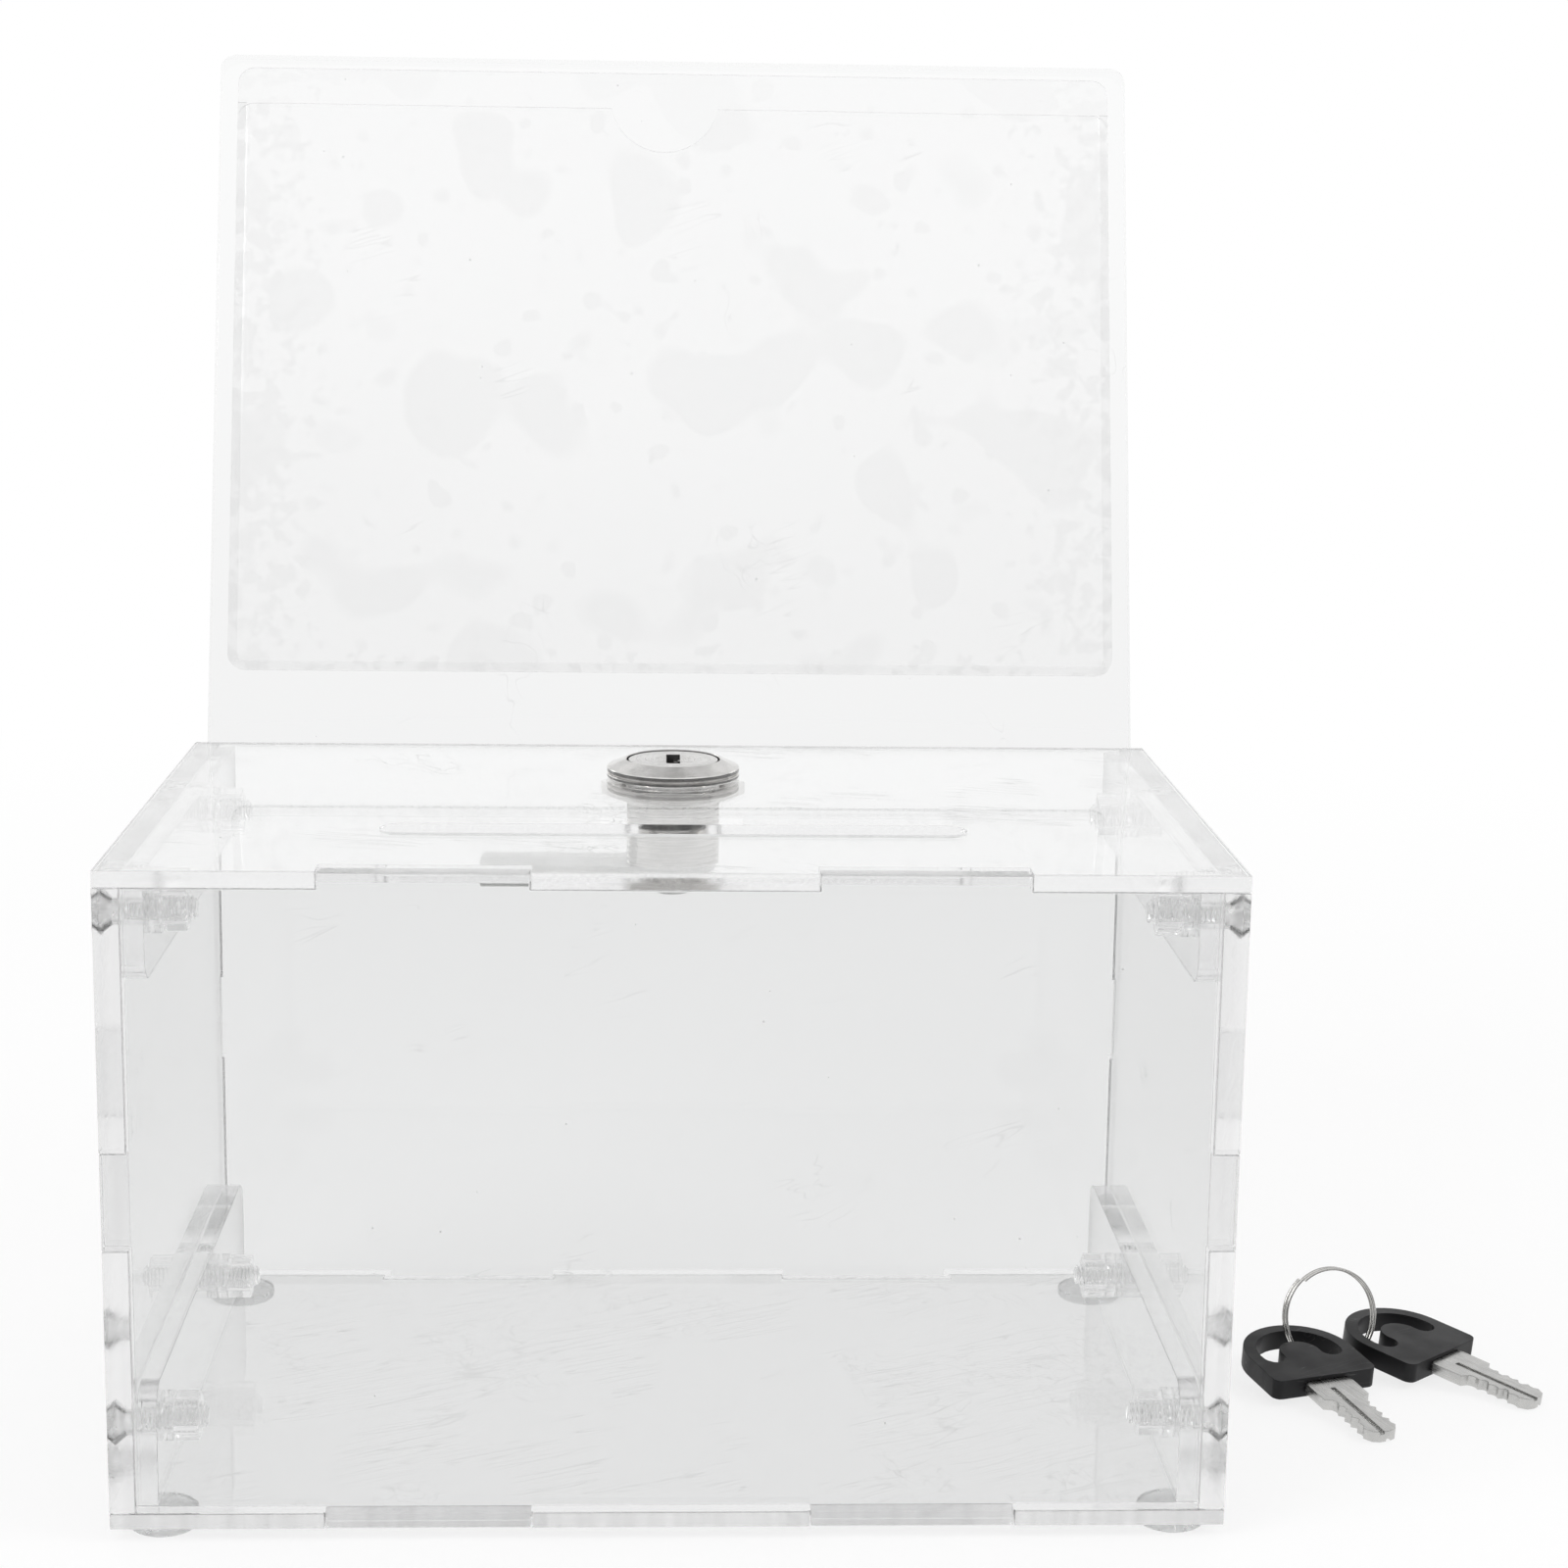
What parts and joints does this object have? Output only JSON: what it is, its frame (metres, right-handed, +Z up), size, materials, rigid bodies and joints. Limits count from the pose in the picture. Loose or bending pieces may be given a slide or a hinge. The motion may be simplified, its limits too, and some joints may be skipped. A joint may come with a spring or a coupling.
{
  "type": "raffle box",
  "caption": "Clear acrylic countertop raffle box with a slotted lift-off lid, cam lock, raised back with a sign pocket, and loose keys on a split ring.",
  "frame": {"origin": "on the table, at the bottom centre of the bounding box of the box, its lock and its keys", "axes": "+X to the right seen from the front, -Y towards the front, +Z up"},
  "size_m": [0.2414, 0.1492, 0.2319],
  "materials": {
    "clear_acrylic": "clear polished sheet",
    "clear_nylon": "clear moulded plastic",
    "clear_film": "clear flexible film",
    "clear_rubber": "clear soft bumper",
    "bright_nickel": "bright nickel plate",
    "zinc_plate": "zinc plate",
    "ring_steel": "bright spring wire",
    "black_plastic": "semi-matt moulded"
  },
  "bodies": {
    "box": {"floor_panel": "clear_acrylic", "front_panel": "clear_acrylic", "back_panel": "clear_acrylic", "side_panel_left": "clear_acrylic", "side_panel_right": "clear_acrylic", "rail_top_left": "clear_acrylic", "rail_top_right": "clear_acrylic", "rail_bottom_left": "clear_acrylic", "rail_bottom_right": "clear_acrylic", "screw_left_top_front": "clear_nylon", "screw_left_top_rear": "clear_nylon", "screw_left_bottom_front": "clear_nylon", "screw_left_bottom_rear": "clear_nylon", "screw_right_top_front": "clear_nylon", "screw_right_top_rear": "clear_nylon", "screw_right_bottom_front": "clear_nylon", "screw_right_bottom_rear": "clear_nylon", "washer_left_top_front": "clear_nylon", "washer_left_top_rear": "clear_nylon", "washer_left_bottom_front": "clear_nylon", "washer_left_bottom_rear": "clear_nylon", "washer_right_top_front": "clear_nylon", "washer_right_top_rear": "clear_nylon", "washer_right_bottom_front": "clear_nylon", "washer_right_bottom_rear": "clear_nylon", "nut_left_top_front": "clear_nylon", "nut_left_top_rear": "clear_nylon", "nut_left_bottom_front": "clear_nylon", "nut_left_bottom_rear": "clear_nylon", "nut_right_top_front": "clear_nylon", "nut_right_top_rear": "clear_nylon", "nut_right_bottom_front": "clear_nylon", "nut_right_bottom_rear": "clear_nylon", "foot_left_front": "clear_rubber", "foot_left_rear": "clear_rubber", "foot_right_front": "clear_rubber", "foot_right_rear": "clear_rubber", "pocket_back_film": "clear_film", "pocket_front_film": "clear_film"},
    "lid": {"lid": "clear_acrylic", "lock_housing": "bright_nickel", "lock_nut": "bright_nickel"},
    "lock_core": {"lock_plug": "bright_nickel", "lock_cam": "zinc_plate", "cam_screw": "zinc_plate"},
    "key_ring": {"key_ring": "ring_steel"},
    "key_1": {"key_1_head": "black_plastic", "key_1_blade": "bright_nickel"},
    "key_2": {"key_2_head": "black_plastic", "key_2_blade": "bright_nickel"}
  },
  "joints": [
    {"name": "lid_lift", "type": "slide", "parent": "box", "child": "lid", "axis": [0, 0, 1], "range_m": [0, 0.1]},
    {"name": "lock_turn", "type": "hinge", "parent": "lid", "child": "lock_core", "pos_m": [-0.0332, 0.0019, 0.0898], "axis": [0, 0, -1], "range_deg": [0, 90]},
    {"name": "key_ring_lift", "type": "slide", "parent": "box", "child": "key_ring", "axis": [0, 0, 1], "range_m": [0, 0.08]},
    {"name": "key_1_swing", "type": "hinge", "parent": "key_ring", "child": "key_1", "pos_m": [0.0798, -0.0046, 0.00457], "axis": [0, 0, 1], "range_deg": [-18, 8]},
    {"name": "key_2_swing", "type": "hinge", "parent": "key_ring", "child": "key_2", "pos_m": [0.0942, -0.0008, 0.00457], "axis": [0, 0, 1], "range_deg": [-16, 8]}
  ]
}
